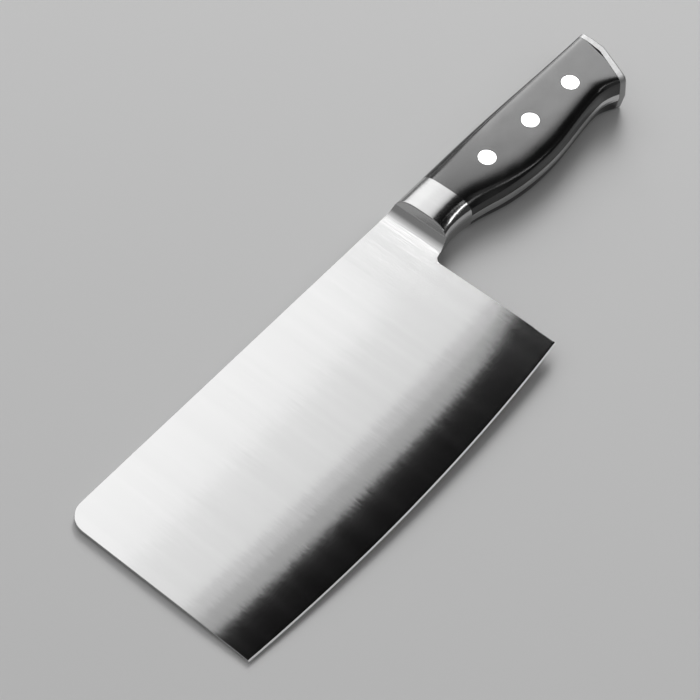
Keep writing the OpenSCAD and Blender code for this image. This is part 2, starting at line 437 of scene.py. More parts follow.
def carved(bm: Shape, cutter: Shape) -> Shape:
    """Cuts one shape out of another.

    Args:
        bm: The shape that is cut. It is freed.
        cutter: The shape that is taken away. It is freed.

    Returns:
        The cut shape.
    """
    pair = []
    for name, shape in (("body", bm), ("cutter", cutter)):
        bmesh.ops.recalc_face_normals(shape, faces=shape.faces)
        pair.append(stand(shape, name))
    modifier = pair[0].modifiers.new("cut", "BOOLEAN")
    modifier.operation = "DIFFERENCE"
    modifier.solver = "EXACT"
    modifier.object = pair[1]
    graph = bpy.context.evaluated_depsgraph_get()
    result = bmesh.new()
    result.from_mesh(pair[0].evaluated_get(graph).to_mesh())
    for piece in pair:
        mesh = piece.data
        bpy.data.objects.remove(piece)
        bpy.data.meshes.remove(mesh)
    return result


def grey(tone: float) -> tuple[float, float, float, float]:
    """Returns a grey as a colour socket takes it."""
    return tone, tone, tone, 1.0


@dataclass(frozen=True)
class NodeBoard:
    """A node tree with short ways to add, fill and join nodes."""

    tree: bpy.types.NodeTree

    @staticmethod
    def surfaced(name: str) -> tuple[Material, "NodeBoard", Node]:
        """Makes a material with one shader.

        Args:
            name: Name of the material.

        Returns:
            The material, its board and its shader.
        """
        material = bpy.data.materials.new(name)
        material.use_nodes = True
        board = NodeBoard(material.node_tree)
        board.tree.nodes.clear()
        output = board.add("ShaderNodeOutputMaterial")
        shader = board.add("ShaderNodeBsdfPrincipled")
        board.join(shader, "BSDF", output, "Surface")
        return material, board, shader

    def add(self, kind: str, operation: str = "") -> Node:
        """Adds a node.

        Args:
            kind: The node's type.
            operation: What a math node works out.

        Returns:
            The node.
        """
        node = self.tree.nodes.new(kind)
        if operation:
            node.operation = operation
        return node

    def fill(self, node: Node, values: dict[str, object]) -> None:
        """Sets a node's sockets by their names."""
        for name, value in values.items():
            node.inputs[name].default_value = value

    def join(self, start: Node, out: str | int, end: Node, into: str | int) -> None:
        """Links one node's output to another's input."""
        self.tree.links.new(start.outputs[out], end.inputs[into])

    def noise(self, scale: Point, detail: float, roughness: float) -> Node:
        """Adds a noise texture on stretched Object coordinates.

        Args:
            scale: Grains per metre along each axis.
            detail: Number of finer layers.
            roughness: Strength of the finer layers.

        Returns:
            The texture.
        """
        where = self.add("ShaderNodeTexCoord")
        mapping = self.add("ShaderNodeMapping")
        self.fill(mapping, {"Scale": scale})
        self.join(where, "Object", mapping, "Vector")
        grain = self.add("ShaderNodeTexNoise")
        self.fill(grain, {"Scale": 1.0, "Detail": detail, "Roughness": roughness})
        self.join(mapping, "Vector", grain, "Vector")
        return grain

    def ranged(self, source: Node, out: str, span: tuple[float, ...]) -> Node:
        """Adds a node that carries one range of values over to another.

        Args:
            source: Node that gives the value.
            out: Its output.
            span: Start and end of the value's range, then of the result's.

        Returns:
            The new node.
        """
        node = self.add("ShaderNodeMapRange")
        self.fill(node, dict(zip(("From Min", "From Max", "To Min", "To Max"), span)))
        self.join(source, out, node, "Value")
        return node

    def around(self, texture: Node, middle: float, reach: float) -> Node:
        """Adds a node that spreads a texture evenly about a value."""
        return self.ranged(texture, "Fac", (*TEXTURE_RANGE, middle - reach, middle + reach))

    def bump(self, texture: Node, strength: float, depth: float, shader: Node) -> None:
        """Raises a shader's surface by a texture.

        Args:
            texture: The texture.
            strength: Strength of the bump.
            depth: Its depth in metres.
            shader: The shader.
        """
        bump = self.add("ShaderNodeBump")
        self.fill(bump, {"Strength": strength, "Distance": depth})
        self.join(texture, "Fac", bump, "Height")
        self.join(bump, "Normal", shader, "Normal")


@dataclass(frozen=True)
class SatinSteel:
    """Steel ground with fine lines that run square to X, over faint waves.

    The lines spread a reflection along X and keep it sharp along themselves. Layers give the
    number of a texture's finer layers and their strength.
    """

    name: str
    tone: float = 0.55
    tone_spread: float = 0.03
    roughness: float = 0.08
    roughness_spread: float = 0.01
    anisotropy: float = 0.6
    patch_stretch: float = 30.0
    patch_layers: Pair = (5.0, 0.6)
    line_scale: Point = (4000.0, 40.0, 40.0)
    line_layers: Pair = (2.0, 0.55)
    line_slope: float = 0.012
    line_spread: Point = (1.0, 0.03, 0.03)
    wave_scale: Point = (1500.0, 260.0, 260.0)
    wave_layers: Pair = (4.0, 0.65)
    wave_slope: float = 0.002

    def ground_normal(self, board: NodeBoard) -> Node:
        """Tilts the surface by its lines and waves.

        Args:
            board: The material's board.

        Returns:
            The node that gives the tilted normal.
        """
        fine = board.noise(self.line_scale, *self.line_layers)
        lines = board.around(fine, 0.0, self.line_slope)
        broad = board.noise(self.wave_scale, *self.wave_layers)
        waves = board.around(broad, 0.0, self.wave_slope)
        tilt = board.add("ShaderNodeCombineXYZ")
        board.join(lines, "Result", tilt, "X")
        board.join(waves, "Result", tilt, "Y")
        surface = board.add("ShaderNodeNewGeometry")
        tilted = board.add("ShaderNodeVectorMath", "ADD")
        board.join(surface, "Normal", tilted, 0)
        board.join(tilt, "Vector", tilted, 1)
        level = board.add("ShaderNodeVectorMath", "NORMALIZE")
        board.join(tilted, "Vector", level, "Vector")
        return level

    def build(self) -> Material:
        """Makes the material.

        Returns:
            The material.
        """
        material, board, steel = NodeBoard.surfaced(self.name)
        board.fill(steel, {"Metallic": 1.0, "Anisotropic": self.anisotropy})
        patch_scale = tuple(value / self.patch_stretch for value in self.line_scale)
        patches = board.noise(patch_scale, *self.patch_layers)
        rough = board.around(patches, self.roughness, self.roughness_spread)
        board.join(rough, "Result", steel, "Roughness")
        tint = board.add("ShaderNodeMixRGB")
        darker, lighter = grey(self.tone - self.tone_spread), grey(self.tone + self.tone_spread)
        board.fill(tint, {"Color1": darker, "Color2": lighter})
        board.join(patches, "Fac", tint, "Fac")
        board.join(tint, "Color", steel, "Base Color")
        board.join(self.ground_normal(board), "Vector", steel, "Normal")
        along = board.add("ShaderNodeCombineXYZ")
        board.fill(along, dict(zip("XYZ", self.line_spread)))
        board.join(along, "Vector", steel, "Tangent")
        return material


@dataclass(frozen=True)
class PolishedSteel:
    """Steel buffed smooth, with faint wipe marks."""

    name: str
    tone: float
    roughness: float
    roughness_spread: float = 0.04
    mark_scale: Point = (260.0, 900.0, 260.0)
    mark_layers: Pair = (5.0, 0.6)
    mark_bump: float = 0.05
    mark_depth: float = 0.00002

    def build(self) -> Material:
        """Makes the material.

        Returns:
            The material.
        """
        material, board, steel = NodeBoard.surfaced(self.name)
        board.fill(steel, {"Metallic": 1.0, "Base Color": grey(self.tone)})
        marks = board.noise(self.mark_scale, *self.mark_layers)
        rough = board.around(marks, self.roughness, self.roughness_spread)
        board.join(rough, "Result", steel, "Roughness")
        board.bump(marks, self.mark_bump, self.mark_depth, steel)
        return material


@dataclass(frozen=True)
class BlackPlastic:
    """Hard black grip plastic with a soft sheen and faint handling marks."""

    name: str
    tone: float = 0.006
    ior: float = 1.58
    roughness: float = 0.18
    roughness_spread: float = 0.03
    smear_scale: Point = (90.0, 160.0, 90.0)
    smear_layers: Pair = (4.0, 0.55)
    pore_scale: Point = (1400.0, 1400.0, 1400.0)
    pore_layers: Pair = (2.0, 0.55)
    pore_bump: float = 0.06
    pore_depth: float = 0.00003

    def build(self) -> Material:
        """Makes the material.

        Returns:
            The material.
        """
        material, board, plastic = NodeBoard.surfaced(self.name)
        board.fill(plastic, {"Base Color": grey(self.tone), "IOR": self.ior})
        smears = board.noise(self.smear_scale, *self.smear_layers)
        rough = board.around(smears, self.roughness, self.roughness_spread)
        board.join(rough, "Result", plastic, "Roughness")
        pores = board.noise(self.pore_scale, *self.pore_layers)
        board.bump(pores, self.pore_bump, self.pore_depth, plastic)
        return material


@dataclass(frozen=True)
class Finishes:
    """The knife's finished materials."""

    blade: Material
    edge: Material
    bolster: Material
    polished: Material
    tang: Material
    plastic: Material
    rivet: Material

    @staticmethod
    def made() -> "Finishes":
        """Makes the materials.

        Returns:
            One set of them.
        """
        return Finishes(
            blade=SatinSteel("blade_satin").build(),
            edge=PolishedSteel(
                "edge_stoned", tone=0.9, roughness=0.66, mark_scale=(2600.0, 300.0, 300.0),
            ).build(),
            bolster=SatinSteel("bolster_satin", tone=0.5, roughness=0.13, anisotropy=0.3).build(),
            polished=PolishedSteel("cap_polished", tone=0.36, roughness=0.52).build(),
            tang=PolishedSteel(
                "tang_ground", tone=0.6, roughness=0.24, mark_scale=(1800.0, 90.0, 400.0),
            ).build(),
            plastic=BlackPlastic("scale_black").build(),
            rivet=PolishedSteel("rivet_polished", tone=0.85, roughness=0.2).build(),
        )


def attach(piece: Piece, slot: str, nodes: Iterable[str], *finishes: Material) -> None:
    """Gives a piece its materials and ties it to the frame.

    Args:
        piece: The finished object.
        slot: The record's material slot; not used.
        nodes: The frame's nodes that it stands for.
        *finishes: Its materials, in the order of its faces' numbers.
    """
    for finish in finishes:
        piece.data.materials.append(finish)
    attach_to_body(piece, BODY)
    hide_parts(*nodes)
    log.info("%s: %d faces", piece.name, len(piece.data.polygons))


@dataclass
class Part:
    """A sub-assembly of the knife, with the sizes and the form that all of them share."""

    layout: Layout
    grip: Grip

    def add_tongue(
        self, bm: Shape, start: float, end: float, thickness: float, gap: float = 0.0,
    ) -> None:
        """Adds a tongue of the bolster's joints, or with a gap the slot that takes it.

        Args:
            bm: The mesh that gets it.
            start: Where it begins along X.
            end: Where it ends along X.
            thickness: Thickness of the tongue.
            gap: Clearance of the slot.
        """
        high = self.layout.tongue_height / 2 + gap
        half = thickness / 2 + gap
        depth = self.layout.tongue_depth
        add_box(bm, (start, -depth - high, -half), (end, high - depth, half))

    def add_tenon(self, bm: Shape, start: float, gap: float = 0.0) -> None:
        """Adds the tenon of the cap's joint, or with a gap the slot that takes it.

        Args:
            bm: The mesh that gets it.
            start: Where it begins along X.
            gap: Clearance of the slot.
        """
        layout = self.layout
        middle = -(layout.butt_bend + self.grip.spine_drop) / 2
        high = layout.tenon_height / 2 + gap
        half = layout.tang_thickness / 2 + gap
        end = layout.butt_x + layout.tenon_length + gap
        add_box(bm, (start, middle - high, -half), (end, middle + high, half))

    def dress(self, finishes: Finishes) -> None:
        """Builds the part's pieces and dresses them."""
        raise NotImplementedError


@dataclass
class Blade(Part):
    """The blade: a flat plate with a convex grind, an edge bevel and a neck for the bolster.

    Its rows and columns lie close together along the eased rim, round the front corner and at
    the choil, where the surface turns most.
    """

    height: float = 88.0
    edge_sweep: float = 4.4
    corner_radius: float = 8.5
    grind_run: float = 36.4
    grind_power: float = 2.0
    edge_half: float = 0.25
    edge_flat: float = 0.04
    bevel_width: float = 0.58
    choil_radius: float = 2.5
    choil_depth: float = 31.13
    choil_end: float = 1.715
    rim_ease: float = 0.15
    rim_share: float = 0.86
    corner_columns: int = 20
    body_run: int = 70
    fillet_columns: int = 10
    ahead_columns: int = 8
    inside_columns: int = 4
    inside_start: float = 0.01
    spine_rows: tuple[float, ...] = (0.5, 0.8, 1.2, 1.7, 2.3, 3.0, 3.8, 4.7, 5.7, 6.8)
    spine_zone: float = 8.0
    middle_rows: int = 8
    choil_zone: float = 6.0
    choil_rows: tuple[float, ...] = (4.4, 3.4, 2.6, 2.0, 1.5, 1.1, 0.8, 0.5)
    flat_rows: int = 6
    grind_rows: int = 40
    bevel_rows: int = 2

    def __post_init__(self) -> None:
        """Works out the edge's arc."""
        half_length = self.layout.blade_length / 2
        self.arc_radius = (half_length ** 2 + self.edge_sweep ** 2) / (2 * self.edge_sweep)
        self.arc_x = -half_length
        self.arc_y = self.arc_radius - self.height - self.edge_sweep

    def edge_y(self, x: float) -> float:
        """Returns the height of the cutting edge at x."""
        return self.arc_y - math.sqrt(self.arc_radius ** 2 - (x - self.arc_x) ** 2)

    def top_y(self, x: float) -> float:
        """Follows the spine, which is round at the front corner.

        Args:
            x: Distance from the heel.

        Returns:
            The spine's height.
        """
        centre = self.corner_radius - self.layout.blade_length
        if x >= 0:
            return self.grip.spine(x)
        if x >= centre:
            return 0.0
        return math.sqrt(max(0.0, self.corner_radius ** 2 - (x - centre) ** 2)) - self.corner_radius

    def rim_distance(self, x: float, y: float) -> float:
        """Measures the distance from a point of the plan to the blade's blunt outline.

        Args:
            x: Distance of the point from the heel.
            y: Its height.

        Returns:
            The distance.
        """
        front = x + self.layout.blade_length
        centre = Vector((self.corner_radius - self.layout.blade_length, -self.corner_radius))
        ahead = Vector((x, y)) - centre
        top = self.top_y(x) - y
        if ahead.x < 0 < ahead.y:
            top = front = self.corner_radius - ahead.length
        choil = math.hypot(x - self.choil_radius, y + self.choil_depth) - self.choil_radius
        if x <= 0:
            behind = choil if y > -self.choil_depth else -x
        else:
            behind = choil if x < self.choil_end else y - self.grip.belly(x)
        return min(front, top, behind)

    def depth(self, x: float, y: float) -> float:
        """Returns the distance from a point of the plan to the cutting edge."""
        return self.arc_radius - math.hypot(x - self.arc_x, y - self.arc_y)

    def half_at(self, x: float, y: float) -> float:
        """Finds half the blade's thickness over a point of the plan.

        Args:
            x: Distance of the point from the heel.
            y: Its height.

        Returns:
            Half the thickness.
        """
        depth = self.depth(x, y)
        full = self.layout.blade_thickness / 2
        if depth < self.bevel_width:
            half = mix(self.edge_flat, self.edge_half, clamp(depth / self.bevel_width))
        else:
            share = clamp((self.grind_run - depth) / (self.grind_run - self.bevel_width))
            half = mix(full, self.edge_half, share ** self.grind_power)
        rim = clamp(self.rim_distance(x, y) / self.rim_ease)
        return half * mix(self.rim_share, 1.0, rim)

    def body_columns(self) -> list[float]:
        """Lists the columns along the blade.

        Returns:
            Their places, from the front to the heel.
        """
        front = -self.layout.blade_length
        turn = spread(0.0, math.pi / 2, self.corner_columns)
        corner = [front + self.corner_radius * (1 - math.cos(angle)) for angle in turn]
        corner += [front + self.rim_ease, front + 2 * self.rim_ease]
        run = spread(front + self.corner_radius, -2 * self.rim_ease, self.body_run)
        return sorted(set(corner + run)) + [-self.rim_ease, 0.0]

    def upper_shares(self) -> list[float]:
        """Lists the rows between the spine and the choil's height.

        Returns:
            Their shares of the way down.
        """
        rim = [0.0, self.rim_ease, 2 * self.rim_ease]
        over_choil = list(self.choil_rows) + rim[::-1]
        middle = spread(self.spine_zone, self.choil_depth - self.choil_zone, self.middle_rows)
        depths = rim + list(self.spine_rows) + middle
        depths += [self.choil_depth - height for height in over_choil]
        return [depth / self.choil_depth for depth in depths]

    def upper_point(self, x: float, share: float) -> Point:
        """Returns a point of the face over the choil's height, at a share of the way down."""
        y = mix(self.top_y(x), -self.choil_depth, share)
        return x, y, self.half_at(x, y)

    def lower_point(self, x: float, row: int) -> Point:
        """Finds a point of the face under the choil's height.

        Args:
            x: Place along the blade.
            row: Row of the point, from 0 at the choil's height.

        Returns:
            The point.
        """
        edge = self.edge_y(x)
        grind_y = edge + self.grind_run
        bevel_y = edge + self.bevel_width
        bevel_start = self.flat_rows + self.grind_rows
        if row <= self.flat_rows:
            y = mix(-self.choil_depth, grind_y, row / self.flat_rows)
        elif row <= bevel_start:
            y = mix(grind_y, bevel_y, (row - self.flat_rows) / self.grind_rows)
        else:
            y = mix(bevel_y, edge, (row - bevel_start) / self.bevel_rows)
        return x, y, self.half_at(x, y)

    def neck_columns(self) -> list[float]:
        """Lists the columns from the heel line to the end of the neck.

        Returns:
            Their places.
        """
        last = math.acos(1 - self.choil_end / self.choil_radius)
        turn = spread(0.0, last, self.fillet_columns)
        fillet = [self.choil_radius * (1 - math.cos(angle)) for angle in turn]
        ahead = spread(self.choil_end, self.layout.ramp_x, self.ahead_columns)[1:]
        inside_start = self.layout.ramp_x + self.inside_start
        return fillet + ahead + spread(inside_start, self.layout.shoulder_x, self.inside_columns)

    def neck_low(self, x: float) -> float:
        """Follows the neck's lower line, which is round at the choil.

        Args:
            x: Distance from the heel.

        Returns:
            The line's height.
        """
        if x >= self.choil_end:
            return self.grip.belly(x)
        reach = self.choil_radius ** 2 - (x - self.choil_radius) ** 2
        return math.sqrt(max(0.0, reach)) - self.choil_depth

    def neck_point(self, x: float, share: float) -> Point:
        """Finds a point of the neck's face, which steps down under the bolster.

        Args:
            x: Distance from the heel.
            share: Share of the way down.

        Returns:
            The point.
        """
        y = mix(self.top_y(x), self.neck_low(x), share)
        half = self.half_at(x, y) if x <= self.layout.ramp_x else self.layout.neck_thickness / 2
        return x, y, half

    def build(self) -> Piece:
        """Makes the blade, with the edge bevel's faces marked for the second material.

        Returns:
            Its object.
        """
        layout = self.layout
        bm = bmesh.new()
        body, neck, shares = self.body_columns(), self.neck_columns(), self.upper_shares()
        lower_rows = self.flat_rows + self.grind_rows + self.bevel_rows
        upper_rows = len(shares) - 1
        lay_grid(bm, len(body) - 1, upper_rows, lambda c, r: self.upper_point(body[c], shares[r]))
        lay_grid(bm, len(body) - 1, lower_rows, lambda c, r: self.lower_point(body[c], r))
        lay_grid(bm, len(neck) - 1, upper_rows, lambda c, r: self.neck_point(neck[c], shares[r]))
        close_at_middle(bm)
        self.add_tongue(bm, layout.shoulder_x, layout.blade_tongue_end, layout.neck_thickness)
        for face in bm.faces:
            middle = face.calc_center_median()
            face.material_index = int(self.depth(middle.x, middle.y) < self.bevel_width)
        return finish_mesh(bm, "blade_ground", layout.to_frame())

    def dress(self, finishes: Finishes) -> None:
        """Builds the blade and dresses it in its two steels."""
        attach(self.build(), "blade_steel", ["blade"], finishes.blade, finishes.edge)


@dataclass
class Bolster(Part):
    """The polished block between blade and grip, with a ramp on each face."""

    foot_radius: float = 6.0
    ramp_angle: float = math.radians(65)
    ridge: float = 0.35
    ramp_reach: float = 0.5
    ramp_columns: int = 76
    rear_columns: int = 40
    half_ring: int = 120
    slot_low: float = -60.0
    slot_high: float = 20.0
    crease: float = 40.0

    def ramp_z(self, x: float) -> float:
        """Follows the ramp, which starts on a concave foot.

        Args:
            x: Distance from the heel.

        Returns:
            The ramp's height over the middle plane.
        """
        foot = self.layout.blade_thickness / 2
        along = x - self.layout.ramp_x
        bend = self.foot_radius * math.sin(self.ramp_angle)
        if along <= bend:
            return foot + self.foot_radius - math.sqrt(self.foot_radius ** 2 - max(0.0, along) ** 2)
        rise = self.foot_radius * (1 - math.cos(self.ramp_angle))
        return foot + rise + (along - bend) * math.tan(self.ramp_angle)

    def columns(self) -> list[float]:
        """Lists the columns from the ramp's foot to the seam.

        Returns:
            Their places.
        """
        layout = self.layout
        ramp = spread(layout.ramp_x, layout.shoulder_x + self.ramp_reach, self.ramp_columns)
        return ramp + spread(ramp[-1], layout.bolster_end, self.rear_columns)[1:]

    def point(self, x: float, angle: float) -> Point:
        """Returns the outer surface's point at x and an angle from the spine."""
        y, z = self.grip.section(x, angle)
        return x, y, soft_min(z, self.ramp_z(x), self.ridge) if z > self.ridge else z

    def neck_slot(self) -> Shape:
        """Makes the cutter of the slot for the blade's neck.

        Returns:
            The cutter.
        """
        slot = bmesh.new()
        half = self.layout.neck_thickness / 2
        add_box(slot, (0.0, self.slot_low, -half), (self.layout.shoulder_x, self.slot_high, half))
        return slot

    def tongue_slots(self) -> Shape:
        """Makes the cutter of the blind slots for the blade's and the tang's tongue.

        Returns:
            The cutter.
        """
        layout, gap = self.layout, self.layout.clearance
        slots = bmesh.new()
        blade = (layout.shoulder_x - OVER, layout.blade_tongue_end + gap)
        self.add_tongue(slots, *blade, layout.neck_thickness, gap)
        tang = (layout.tang_tongue_start - gap, layout.bolster_end + OVER)
        self.add_tongue(slots, *tang, layout.tang_thickness, gap)
        return slots

    def build(self) -> Piece:
        """Makes the bolster.

        Returns:
            Its object.
        """
        bm = bmesh.new()
        columns = self.columns()
        angles = [math.pi * row / self.half_ring for row in range(self.half_ring + 1)]
        ring = self.half_ring
        lay_grid(bm, len(columns) - 1, ring, lambda c, r: self.point(columns[c], angles[r]))
        for end in (columns[0], columns[-1]):
            lay_grid(bm, 1, ring, lambda c, r, x=end: dropped(self.point(x, angles[r]), bool(c)))
        close_at_middle(bm)
        bm = carved(carved(bm, self.neck_slot()), self.tongue_slots())
        return finish_mesh(bm, "bolster_polished", self.layout.to_frame(), self.crease)

    def dress(self, finishes: Finishes) -> None:
        """Builds the bolster and dresses it."""
        attach(self.build(), "polished_steel", ["bolster"], finishes.bolster)


@dataclass
class RivetRow(Part):
    """The three pressed rivets, each a headed pin inside a headed sleeve."""

    spots: tuple[Pair, ...] = ((49.6, -15.4), (76.8, -16.7), (104.0, -16.9))
    names: tuple[str, ...] = ("front", "middle", "rear")
    rim: float = 0.12
    head_rings: tuple[float, ...] = (0.0, 0.3, 0.6, 0.85, 1.0)
    steps: int = 72

    def seat(self, x: float) -> float:
        """Returns the height of a head's seat over the middle plane."""
        return self.grip.half(x) - self.layout.rivet_head_thickness

    def turned(self, profile: list[Pair]) -> Shape:
        """Turns a profile once round the Z axis.

        Args:
            profile: The profile's points, as (radius, height).

        Returns:
            The turned shape.
        """
        bm = bmesh.new()
        verts = [bm.verts.new((radius, 0.0, z)) for radius, z in profile]
        for first, second in zip(verts, verts[1:]):
            bm.edges.new((first, second))
        bmesh.ops.spin(
            bm, geom=list(bm.verts) + list(bm.edges), cent=(0, 0, 0), axis=(0, 0, 1),
            angle=2 * math.pi, steps=self.steps, use_merge=True,
        )
        weld(bm)
        return bm

    def head_profile(self, x: float) -> list[Pair]:
        """Draws a head from its middle out and down to its seat.

        Args:
            x: The rivet's distance from the heel.

        Returns:
            The profile's points, as (radius, height).
        """
        radius = self.layout.rivet_head / 2
        top = self.grip.half(x)
        rings = [(radius - self.rim) * share for share in self.head_rings]
        return [(ring, top) for ring in rings] + [(radius, top - self.rim), (radius, self.seat(x))]

    def profiles(self, x: float) -> tuple[list[Pair], list[Pair]]:
        """Draws a headed pin and the headed sleeve with the bore that takes it.

        Args:
            x: The rivet's distance from the heel.

        Returns:
            The points of the pin's and of the sleeve's profile, as (radius, height).
        """
        layout, seat = self.layout, self.seat(x)
        pin, sleeve = layout.rivet_pin / 2, layout.rivet_sleeve / 2
        pin_end = layout.rivet_head_thickness - seat
        bore, end = pin + layout.clearance, layout.clearance - seat
        floor = seat - layout.rivet_head_thickness / 2
        hollow = [(sleeve, seat), (sleeve, end), (bore, end), (bore, floor), (0.0, floor)]
        head = self.head_profile(x)
        return head + [(pin, seat), (pin, pin_end), (0.0, pin_end)], head + hollow

    def build(self, profile: list[Pair], spot: Pair, half: Half, name: str) -> Piece:
        """Turns a rivet half and sets it flush with its scale.

        Args:
            profile: Its profile, head up.
            spot: Its place in the plan.
            half: The face on which its head lies.
            name: Name of the object.

        Returns:
            The object.
        """
        bm = self.turned(profile)
        bmesh.ops.translate(bm, vec=(*spot, 0.0), verts=bm.verts)
        top = self.grip.half(spot[0])
        for vert in bm.verts:
            if vert.co.z > top - 2 * self.rim:
                vert.co.z += self.grip.top(vert.co.x, vert.co.y) - top
        bmesh.ops.scale(bm, vec=(1, 1, half.value), verts=bm.verts)
        return finish_mesh(bm, name, self.layout.to_frame())

    def dress(self, finishes: Finishes) -> None:
        """Builds the rivets' pins and sleeves and dresses them.

        Args:
            finishes: The knife's finishes.
        """
        for spot, name in zip(self.spots, self.names):
            for kind, half, profile in zip(("pin", "sleeve"), Half, self.profiles(spot[0])):
                piece = self.build(profile, spot, half, f"rivet_{name}_{kind}")
                attach(piece, "rivet_steel", [f"rivet_{kind}_{name}"], finishes.rivet)


@dataclass
class Tang(Part):
    """The steel bar between the scales, flush with them along the spine and the belly."""

    chamfer: float = 0.18
    columns: int = 120
    side_rows: int = 6
    hole_reach: float = 5.0

    def ring(self, x: float) -> list[Pair]:
        """Goes round the upper half of the section, from the spine to the belly.

        Args:
            x: Distance from the heel.

        Returns:
            The points' (y, z).
        """
        half = self.layout.tang_thickness / 2
        heights = spread(0.0, half - self.chamfer, self.side_rows)
        grip = self.grip
        spine = [grip.section(x, grip.angle_at(x, z, Side.SPINE)) for z in heights]
        belly = [grip.section(x, grip.angle_at(x, z, Side.BELLY)) for z in reversed(heights)]
        flat = [(spine[-1][0] - self.chamfer, half), (belly[0][0] + self.chamfer, half)]
        return spine + flat + belly

    def point(self, share: float, row: int) -> Point:
        """Finds a point of the surface.

        Args:
            share: Share of the way to the bent butt seam.
            row: Row of the point in the ring.

        Returns:
            The point.
        """
        x = mix(self.layout.bolster_end, self.layout.butt_x, share)
        for _ in range(SEAM_ROUNDS):
            y, z = self.ring(x)[row]
            x = mix(self.layout.bolster_end, self.layout.seam_x(y), share)
        return x, y, z

    def build(self) -> Piece:
        """Makes the tang.

        Returns:
            Its object.
        """
        layout = self.layout
        bm = bmesh.new()
        rows = len(self.ring(layout.bolster_end)) - 1
        lay_grid(bm, self.columns, rows, lambda c, r: self.point(c / self.columns, r))
        for end in (0.0, 1.0):
            lay_grid(bm, 1, rows, lambda c, r, share=end: dropped(self.point(share, r), not c))
        close_at_middle(bm)
        holes = bmesh.new()
        for spot in RivetRow(layout, self.grip).spots:
            diameter = layout.rivet_sleeve + 2 * layout.clearance
            add_post(holes, spot, -self.hole_reach, self.hole_reach, diameter)
        bm = carved(bm, holes)
        self.add_tongue(bm, layout.tang_tongue_start, layout.bolster_end, layout.tang_thickness)
        self.add_tenon(bm, layout.butt_x)
        return finish_mesh(bm, "tang_bar", layout.to_frame())

    def dress(self, finishes: Finishes) -> None:
        """Builds the tang and dresses it."""
        attach(self.build(), "tang_steel", ["tang"], finishes.tang)


@dataclass
class Scales(Part):
    """The two grip halves, bored and seated for the rivets."""

    columns: int = 130
    rows: int = 120
    seam_ease: float = 0.12
    seat_reach: float = 6.0

    def point(self, share: float, row: int, flat: bool) -> Point:
        """Finds a point of a scale.

        Args:
            share: Share of the way to the bent butt seam.
            row: Row of the point over the section, from spine to belly.
            flat: Whether the point lies on the tang instead of on the outside.

        Returns:
            The point.
        """
        layout = self.layout
        floor = layout.tang_thickness / 2
        x = mix(layout.bolster_end, layout.butt_x, share)
        for _ in range(SEAM_ROUNDS):
            first = self.grip.angle_at(x, floor, Side.SPINE)
            last = self.grip.angle_at(x, floor, Side.BELLY)
            y, z = self.grip.section(x, mix(first, last, row / self.rows))
            x = mix(layout.bolster_end, layout.seam_x(y), share)
        near = min(x - layout.bolster_end, layout.seam_x(y) - x)
        eased = 1 - clamp(near / self.seam_ease)
        z -= self.seam_ease * eased * clamp((z - floor) / self.seam_ease)
        return x, y, floor if flat else z

    def shares(self) -> list[float]:
        """Lists the columns, with one close to each seam.

        Returns:
            Their shares of the way to the butt.
        """
        length = self.layout.butt_x - self.layout.bolster_end
        near = self.seam_ease / length
        return [0.0] + spread(near, 1 - near, self.columns) + [1.0]

    def bored(self, bm: Shape) -> Shape:
        """Bores the rivets' holes into an upper scale, and then the wider seats of their heads.

        Args:
            bm: The scale. It is freed.

        Returns:
            The bored scale.
        """
        row = RivetRow(self.layout, self.grip)
        gap = 2 * self.layout.clearance
        holes, seats = bmesh.new(), bmesh.new()
        for spot in row.spots:
            seat = row.seat(spot[0])
            add_post(holes, spot, 0.0, seat + OVER, self.layout.rivet_sleeve + gap)
            add_post(seats, spot, seat, seat + self.seat_reach, self.layout.rivet_head + gap)
        return carved(carved(bm, holes), seats)

    def build(self, half: Half) -> Piece:
        """Makes one scale.

        Args:
            half: The face that it lies on.

        Returns:
            Its object.
        """
        bm = bmesh.new()
        shares = self.shares()
        last = len(shares) - 1
        for flat in (False, True):
            lay_grid(bm, last, self.rows, lambda c, r, on=flat: self.point(shares[c], r, on))
        for end in (0.0, 1.0):
            lay_grid(bm, 1, self.rows, lambda c, r, share=end: self.point(share, r, bool(c)))
        weld(bm)
        bm = self.bored(bm)
        bmesh.ops.scale(bm, vec=(1, 1, half.value), verts=bm.verts)
        return finish_mesh(bm, f"scale_black_{half.name.lower()}", self.layout.to_frame())

    def dress(self, finishes: Finishes) -> None:
        """Builds both scales and dresses them.

        Args:
            finishes: The knife's finishes.
        """
        for half in Half:
            node = f"scale_{half.name.lower()}"
            attach(self.build(half), "scale_plastic", [node], finishes.plastic)


